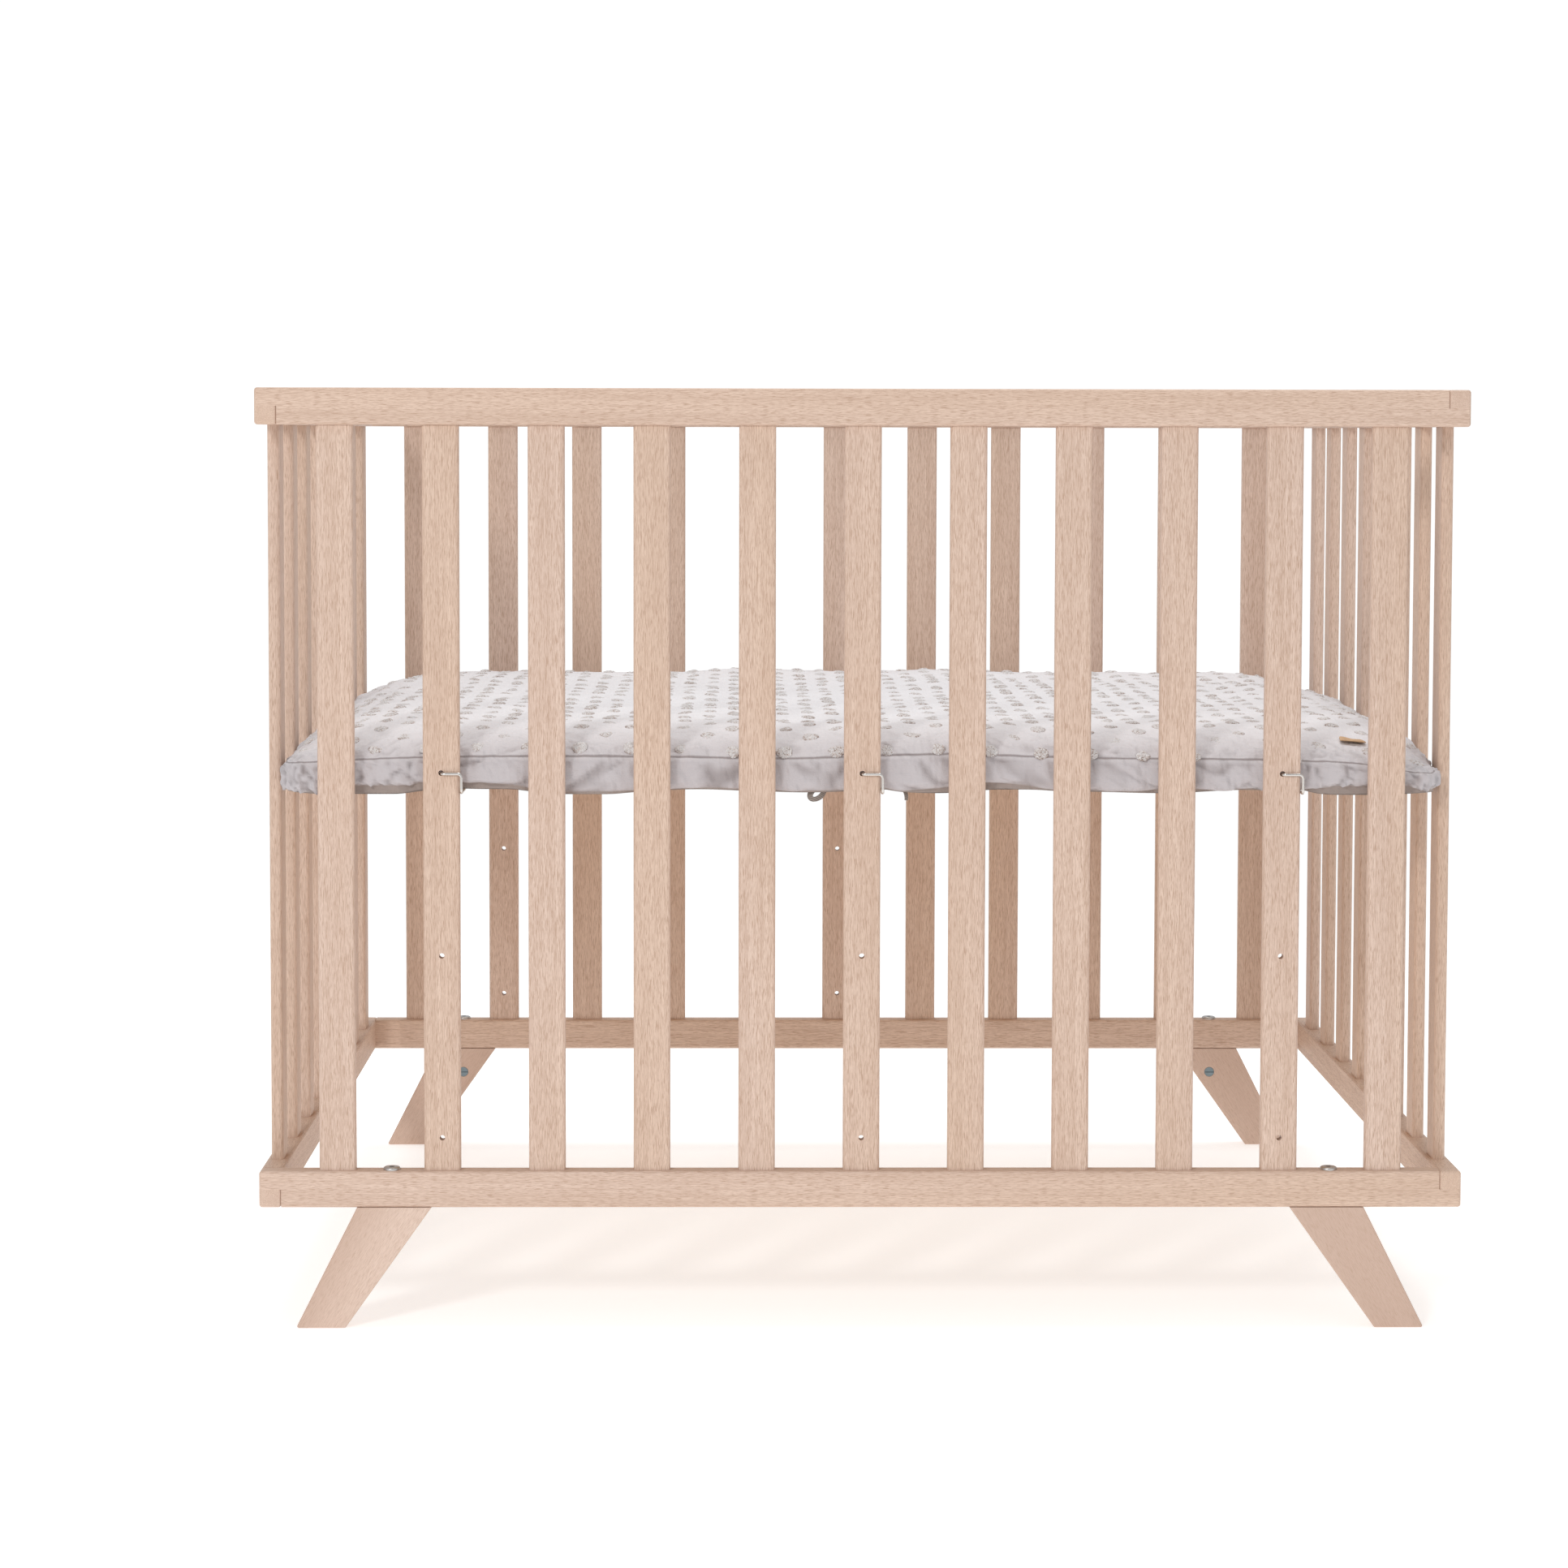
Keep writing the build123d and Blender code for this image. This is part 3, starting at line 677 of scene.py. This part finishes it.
def build_mat(fabric):
    """The padded mat; returns the settled grid of its top panel."""
    points, faces, counts, ring, hem = mat_skin()
    cover = make_object("mat_cover", points, faces, fabric)
    held = np.zeros(len(points))
    held[ring] = SEAM_PIN
    held[counts[0] * counts[1] + (LIP_ROW - 1) * len(ring):] = 1
    foam = foam_core(points, faces)
    points = fold(cover, points, drape(cover, foam, held), counts[0] * counts[1])
    set_coordinates(cover.data, points)
    top = points[: counts[0] * counts[1]].reshape(counts[0], counts[1], 3).copy()

    for axis in (0, 1):
        points[ring, axis] *= 1 - SEAM_GROOVE / MAT_HALF[axis]
    keep_inside(points)
    set_coordinates(cover.data, points)
    # the seam mark: dark thread and painted shade in its groove
    seam_thread_and_shade = np.zeros(len(points))
    seam_thread_and_shade[ring] = 1
    # panel values are painted shade: rising on the top towards the seam, 0.8 on the seam ring, 1
    # on the band
    panel_shade = np.ones(len(points))
    flat = top.reshape(-1, 3)
    panel_shade[: len(flat)] = TOP_SHADE * np.exp(-edge_distance(flat[:, 0], flat[:, 1]) / EDGE_SHADE)
    panel_shade[ring] = 0.8
    # the strip under the band: 2, for its darker painted shade
    panel_shade[len(flat) + LIP_ROW * len(ring):] = 2
    for name, values in (("seam", seam_thread_and_shade), ("panel", panel_shade)):
        layer = cover.data.attributes.new(name, "FLOAT", "POINT")
        layer.data.foreach_set("value", values)
    seam_edges = set()
    for k, index in enumerate(ring):
        seam_edges.add(frozenset((index, ring[(k + 1) % len(ring)])))
    crease = cover.data.attributes.new("crease_edge", "FLOAT", "EDGE")
    for edge in cover.data.edges:
        if frozenset(edge.vertices) in seam_edges:
            crease.data[edge.index].value = 0.9
    subdivide = cover.modifiers.new("Subdivision", "SUBSURF")
    subdivide.levels = 1
    subdivide.render_levels = 1
    apply_modifiers(cover)
    crease_cover(cover)
    close_under(cover)
    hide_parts("mat")
    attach(cover, "floor")
    return top


def cloth_place(x, y):
    """Length along the cloth, in both directions, that ends at a point of the flat plan."""
    return (
        math.copysign(float(np.interp(abs(x), CROWNS[0][1], CROWNS[0][0])), x),
        math.copysign(float(np.interp(abs(y), CROWNS[1][1], CROWNS[1][0])), y),
    )


def soften(grid, rounds=4):
    """The grid with its small folds averaged away."""
    for _ in range(rounds):
        wide = np.pad(grid, ((1, 1), (1, 1), (0, 0)), mode="edge")
        around = wide[:-2, 1:-1] + wide[2:, 1:-1] + wide[1:-1, :-2] + wide[1:-1, 2:]
        grid = (around + 4 * grid) / 8
    return grid


def on_cover(top, u, v):
    """Point and normal of a top panel grid at cloth place u, v."""
    count_u, count_v = top.shape[:2]
    place_u = (u / CLOTH_HALF[0] + 1) / 2 * (count_u - 1)
    place_v = (v / CLOTH_HALF[1] + 1) / 2 * (count_v - 1)
    i = min(max(int(place_u), 0), count_u - 2)
    j = min(max(int(place_v), 0), count_v - 2)
    s, t = place_u - i, place_v - j
    a, b, c, d = top[i, j], top[i + 1, j], top[i + 1, j + 1], top[i, j + 1]
    point = (a * (1 - s) + b * s) * (1 - t) + (d * (1 - s) + c * s) * t
    along_u = Vector((b - a) * (1 - t) + (c - d) * t).normalized()
    along_v = Vector((d - a) * (1 - s) + (c - b) * s).normalized()
    normal = along_u.cross(along_v).normalized()
    return Vector(point), normal


def tuft_places(top):
    """Cloth place, size, wear and height of each tuft, from seeded draws."""
    random.seed(SEED)
    reach = [int(half / TUFT_PITCH) + 1 for half in CLOTH_HALF]
    for i in range(-reach[0], reach[0] + 1):
        for j in range(-reach[1], reach[1] + 1):
            if (i + j) % 2:
                continue
            u = i * TUFT_PITCH + random.uniform(-1, 1) * MM
            v = j * TUFT_PITCH + TUFT_SHIFT + TUFT_SKEW * u + random.uniform(-1, 1) * MM
            size = random.uniform(0.92, 1.08)
            worn = random.uniform(-0.10, 0.16)
            tall = random.uniform(0.85, 1.15)
            room_u, room_v = CLOTH_HALF[0] - abs(u), CLOTH_HALF[1] - abs(v)
            if min(room_u, room_v) < TUFT_EDGE_ROOM:
                continue
            if max(MAT_CORNER - room_u, 0) + max(MAT_CORNER - room_v, 0) > MAT_CORNER:
                continue
            from_tag = on_cover(top, u, v)[0] - (TAG_LOW + TAG_HIGH) / 2 - TAG_SHIFT
            if abs(from_tag.x) < TUFT_TAG_ROOM[0] and abs(from_tag.y) < TUFT_TAG_ROOM[1]:
                continue
            yield u, v, size, worn, tall


def tuft_faces(start):
    """Faces of one tuft, whose points begin at index start."""
    faces = []
    rim = start + 1 + (len(TUFT_RINGS) - 1) * TUFT_SEGMENTS
    bottom = rim + TUFT_SEGMENTS
    for k in range(TUFT_SEGMENTS):
        following = (k + 1) % TUFT_SEGMENTS
        faces.append((start, start + 1 + k, start + 1 + following))
        for inner in range(start + 1, rim, TUFT_SEGMENTS):
            outer = inner + TUFT_SEGMENTS
            faces.append((inner + k, outer + k, outer + following, inner + following))
        faces.append((rim + k, bottom, rim + following))
    return faces


def build_tufts(top, pile):
    """Round chenille tufts on every other square of the grid, one closed lump each."""
    smooth = soften(top)
    rings = [(0.0, 1)] + [(radius, TUFT_SEGMENTS) for radius in TUFT_RINGS]
    points, faces, pile_shade = [], [], []
    for u, v, size, worn, tall in tuft_places(top):
        centre = on_cover(top, u, v)[0]
        normal = on_cover(smooth, u, v)[1]
        faces += tuft_faces(len(points))
        for radius, segments in rings:
            dome = TUFT_HEIGHT * tall * math.sqrt(max(1 - radius ** 2.4, 0)) - TUFT_SINK
            for k in range(segments):
                turn = 2 * math.pi * k / TUFT_SEGMENTS
                out_u, out_v = math.cos(turn), math.sin(turn)
                ragged = noise.noise(
                    Vector((3 * u, 3 * v, 0)) * 100 + Vector((out_u, out_v, 0)) * 1.6
                )
                side = TUFT_RADIUS * size * radius * (1 + 0.13 * ragged)
                spot = on_cover(top, u + side * out_u, v + side * out_v)[0]
                loop = noise.noise(spot * 620) + 0.5 * noise.noise(spot * 1300)
                points.append(spot + normal * (dome + 0.75 * MM * loop * (1 - radius ** 6)))
                # painted shade: darker towards the rim and between the loops, with a random lift
                # for each tuft
                share = 0.34 * (1 - radius ** 4) + 0.60 * (0.46 + loop * 1.5) + worn
                pile_shade.append(min(max(share, 0), 1))
        points.append(centre - normal * (TUFT_SINK * 2.2))
        pile_shade.append(0.0)
    tufts = make_object("mat_tufts", points, faces, pile)
    # the pile value carries each point's painted shade
    layer = tufts.data.attributes.new("pile", "FLOAT", "POINT")
    layer.data.foreach_set("value", pile_shade)
    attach(tufts, "floor")


# ------------------------------------------------------------------ tag and ties
def ribbon(name, path, acrosses, width, thickness, material):
    """A flat tape of real thickness along a path, with rounded edges."""
    profile = []
    for k in range(TAPE_SIDES):
        turn = 2 * math.pi * k / TAPE_SIDES
        flat = math.copysign(abs(math.cos(turn)) ** 0.5, math.cos(turn))
        profile.append((flat * width / 2, math.sin(turn) * thickness / 2))
    points, faces = [], []
    for index, spot in enumerate(path):
        before = path[max(index - 1, 0)]
        after = path[min(index + 1, len(path) - 1)]
        forwards = (after - before).normalized()
        thick = forwards.cross(acrosses[index]).normalized()
        across = thick.cross(forwards)
        points += [spot + across * flat + thick * deep for flat, deep in profile]
    count = len(profile)
    for index in range(len(path) - 1):
        for k in range(count):
            a = index * count + k
            b = index * count + (k + 1) % count
            faces.append((a, b, b + count, a + count))
    faces.append(tuple(reversed(range(count))))
    faces.append(tuple(range(len(points) - count, len(points))))
    return make_object(name, points, faces, material)


def build_ties(material):
    """A loop and a loose end of tape that hang from the cover's front hem."""
    centre = (LOOP_LOW + LOOP_HIGH) / 2
    half_width = (LOOP_HIGH.x - LOOP_LOW.x) / 2 - 2.5 * MM
    drop = (LOOP_HIGH.z - LOOP_LOW.z) / 2
    path, acrosses = [], []
    for step in range(41):
        turn = LOOP_START + LOOP_SWEEP * step / 40
        along, up = -half_width * math.cos(turn), -0.68 * drop * math.sin(turn)
        x = along * math.cos(LOOP_LEAN) + up * math.sin(LOOP_LEAN)
        z = -along * math.sin(LOOP_LEAN) + up * math.cos(LOOP_LEAN)
        path.append(centre + Vector((x, 1.6 * MM * (step / 20 - 1), z + 2 * MM)))
        outwards = Vector((x, 0, z)).normalized()
        acrosses.append((outwards * 0.75 + Vector((0, 0.66, 0))).normalized())
    loop = ribbon("mat_tie_loop_tape", path, acrosses, LOOP_WIDTH, TAPE_THICKNESS, material)
    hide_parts("mat_tie_loop")

    hang = TIE_HIGH.z - TIE_LOW.z
    middle = (TIE_LOW + TIE_HIGH) / 2
    path, acrosses = [], []
    for step in range(21):
        part = step / 20
        sway = 2.2 * MM * math.sin(part * 2.4) + 2 * MM * part
        z = TIE_HIGH.z + 2 * MM - hang * part
        path.append(Vector((middle.x - 3 * MM + sway, middle.y, z)))
        turn = 0.5 + 0.4 * part
        acrosses.append(Vector((math.cos(turn), math.sin(turn), 0)))
    end = ribbon("mat_tie_end_tape", path, acrosses, TAPE_WIDTH, TAPE_THICKNESS, material)
    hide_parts("mat_tie_end")
    for piece in (loop, end):
        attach(piece, "floor")


def build_tag(top, material):
    """Blank leather tag sewn to the top near the front right corner."""
    middle = (TAG_LOW + TAG_HIGH) / 2 + TAG_SHIFT
    half = ((TAG_HIGH.x - TAG_LOW.x) / 2, (TAG_HIGH.y - TAG_LOW.y) / 2)
    columns, rows = 22, 14
    points, faces = [], []
    for layer in (0, 1):
        for i in range(columns + 1):
            for j in range(rows + 1):
                s = 2 * i / columns - 1
                t = 2 * j / rows - 1
                rounded = 1 - 0.06 * (abs(s) ** 6) * (abs(t) ** 6)
                place = on_cover(
                    top, *cloth_place(middle.x + half[0] * s * rounded,
                                      middle.y + half[1] * t * rounded)
                )[0]
                edge = max(abs(s), abs(t)) ** 10
                height = TAG_LIFT + (TAG_THICKNESS * (1 - 0.35 * edge) if layer else 0)
                height += TAG_RISE * (1 - t) / 2
                points.append(place + Vector((0, 0, height)))
    count = (columns + 1) * (rows + 1)

    def at(layer, i, j):
        return layer * count + i * (rows + 1) + j

    for i in range(columns):
        for j in range(rows):
            square = ((i, j), (i + 1, j), (i + 1, j + 1), (i, j + 1))
            faces.append(tuple(at(1, *spot) for spot in square))
            faces.append(tuple(at(0, *spot) for spot in reversed(square)))
    border = [(i, 0) for i in range(columns)] + [(columns, j) for j in range(rows)]
    border += [(i, rows) for i in range(columns, 0, -1)] + [(0, j) for j in range(rows, 0, -1)]
    for k, spot in enumerate(border):
        following = border[(k + 1) % len(border)]
        faces.append((at(0, *spot), at(0, *following), at(1, *following), at(1, *spot)))
    tag = make_object("mat_tag_leather", points, faces, material)
    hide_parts("mat_tag")
    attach(tag, "floor")


# ------------------------------------------------------------------ CAD materials
def dress_cad():
    """Give every CAD node that stays its material."""
    light, dark, warm = (0.735, 0.565, 0.47), (0.46, 0.30, 0.215), (0.72, 0.54, 0.425)
    quarter = math.pi / 2
    grain_up = wood("beech_upright", (0, 0, 0), light, dark, warm)
    grain_long = wood("beech_along", (0, quarter, 0), light, dark, warm)
    grain_deep = wood("beech_across", (quarter, 0, 0), light, dark, warm)
    pink = (0.60, 0.435, 0.35)
    legs = {
        side: wood(f"beech_leg_{name}", (0, side * LEG_LEAN, 0), pink, dark, light, 0.35)
        for side, name in ((1, "right"), (-1, "left"))
    }
    steel = metal("zinc_plate", (0.56, 0.54, 0.52), 0.26, (900, 900, 60))
    blue_zinc = metal("blue_zinc", (0.24, 0.30, 0.33), 0.34, (900, 60, 900))
    nickel = metal("nickel_wire", (0.70, 0.67, 0.64), 0.12, (500, 500, 500))
    raw = wood("dowel_beech", (0, 0, 0), (0.70, 0.54, 0.40), dark, (0.66, 0.50, 0.35))
    ply = plywood("plywood_board")
    for name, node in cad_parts.items():
        if "slat" in name:
            chosen = grain_up
        elif name.startswith(("front", "back")) and name.endswith("rail"):
            chosen = grain_long
        elif name.endswith("rail"):
            chosen = grain_deep
        elif "_leg_" in name:
            low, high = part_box(name)
            chosen = legs[1 if low.x + high.x > 0 else -1]
        elif "_hook_" in name:
            chosen = nickel
        elif name == "leg_dowels":
            chosen = raw
        elif name == "floor_board":
            chosen = ply
        elif name == "leg_barrel_nuts":
            chosen = blue_zinc
        else:
            chosen = steel
        node.data.materials.clear()
        node.data.materials.append(chosen)


# ------------------------------------------------------------------ studio
CAMERA_PLACE = Vector((-0.098, -3.328, 0.7336))
CAMERA_YAW = math.radians(0.66)
CAMERA_PITCH = math.radians(3.4)
CAMERA_ROLL = math.radians(0.12)
CAMERA_LENS = 83.1
CAMERA_RISE = -0.0864


def make_camera():
    """Straight-on studio view, a little above the top rail, with a long lens."""
    data = bpy.data.cameras.new("camera")
    data.lens = CAMERA_LENS
    data.sensor_width = 36
    data.shift_y = CAMERA_RISE
    camera = bpy.data.objects.new("camera", data)
    bpy.context.collection.objects.link(camera)
    forwards = Vector((
        math.sin(CAMERA_YAW) * math.cos(CAMERA_PITCH),
        math.cos(CAMERA_YAW) * math.cos(CAMERA_PITCH),
        -math.sin(CAMERA_PITCH),
    ))
    camera.rotation_mode = "QUATERNION"
    roll = Quaternion((0, 0, 1), CAMERA_ROLL)
    camera.rotation_quaternion = forwards.to_track_quat("-Z", "Y") @ roll
    camera.location = CAMERA_PLACE
    bpy.context.scene.camera = camera


def area_light(name, place, target, size, power):
    """A round soft light, aimed at a target."""
    data = bpy.data.lights.new(name, "AREA")
    data.shape = "DISK"
    data.size = size
    data.energy = power
    light = bpy.data.objects.new(name, data)
    light.location = place
    light.rotation_mode = "QUATERNION"
    light.rotation_quaternion = (Vector(target) - Vector(place)).to_track_quat("-Z", "Y")
    bpy.context.collection.objects.link(light)


def make_studio():
    """Pale floor, white surroundings and large soft lights."""
    s = Surface("studio_floor")
    s.set(roughness=0.9, specular=0.1)
    s.put(s.shader, "Emission Color", (1, 1, 1, 1))
    s.node("VectorMath", {0: s.object_coords()}, operation="LENGTH")
    away = s.math("MULTIPLY", s.tree.nodes[-1].outputs["Value"], 0.25)
    s.set(base_color=s.ramp(away, ((0.25, 0.80), (0.6, 0.0))))
    glow = s.ramp(away, ((0.25, 0.50), (0.6, 1.0)), smooth=True)
    s.put(s.shader, "Emission Strength", glow)
    half = 14
    corners = [(-half, -half, 0), (half, -half, 0), (half, half, 0), (-half, half, 0)]
    floor = make_object("studio_floor", corners, [(0, 1, 2, 3)], s.material)

    world = bpy.data.worlds.new("studio")
    world.use_nodes = True
    nodes, links = world.node_tree.nodes, world.node_tree.links
    seen = nodes.new("ShaderNodeBackground")
    seen.inputs["Color"].default_value = (1, 1, 1, 1)
    seen.inputs["Strength"].default_value = 1.05
    lit = nodes["Background"]
    lit.inputs["Color"].default_value = (0.98, 0.99, 1.0, 1)
    lit.inputs["Strength"].default_value = 0.62
    path = nodes.new("ShaderNodeLightPath")
    blend = nodes.new("ShaderNodeMixShader")
    links.new(path.outputs["Is Camera Ray"], blend.inputs[0])
    links.new(lit.outputs[0], blend.inputs[1])
    links.new(seen.outputs[0], blend.inputs[2])
    links.new(blend.outputs[0], nodes["World Output"].inputs["Surface"])
    bpy.context.scene.world = world

    middle = (0, 0, 0.45)
    area_light("key", (-1.7, -3.6, 2.3), middle, 0.7, 43)
    area_light("fill", (2.4, -3.2, 1.4), middle, 2.6, 5)
    area_light("top", (0.1, 0.3, 3.2), middle, 2.2, 37)
    bpy.context.scene.view_settings.view_transform = "Standard"


# ------------------------------------------------------------------ the model
make_camera()
make_studio()
dress_cad()
# thread, mottle, painted shade of the band, painted shade of the strip under it, and seam thread
# that also paints crease shade
mat_fabric = cloth(
    "mat_fabric", (0.79, 0.775, 0.79), (0.66, 0.635, 0.65), (0.55, 0.51, 0.52),
    (0.31, 0.25, 0.22), (0.24, 0.20, 0.195),
)
mat_top = build_mat(mat_fabric)
build_tufts(mat_top, chenille("mat_chenille"))
build_ties(tape("tie_tape", (0.31, 0.27, 0.245), (0.20, 0.17, 0.15)))
build_tag(mat_top, leather("tag_leather"))
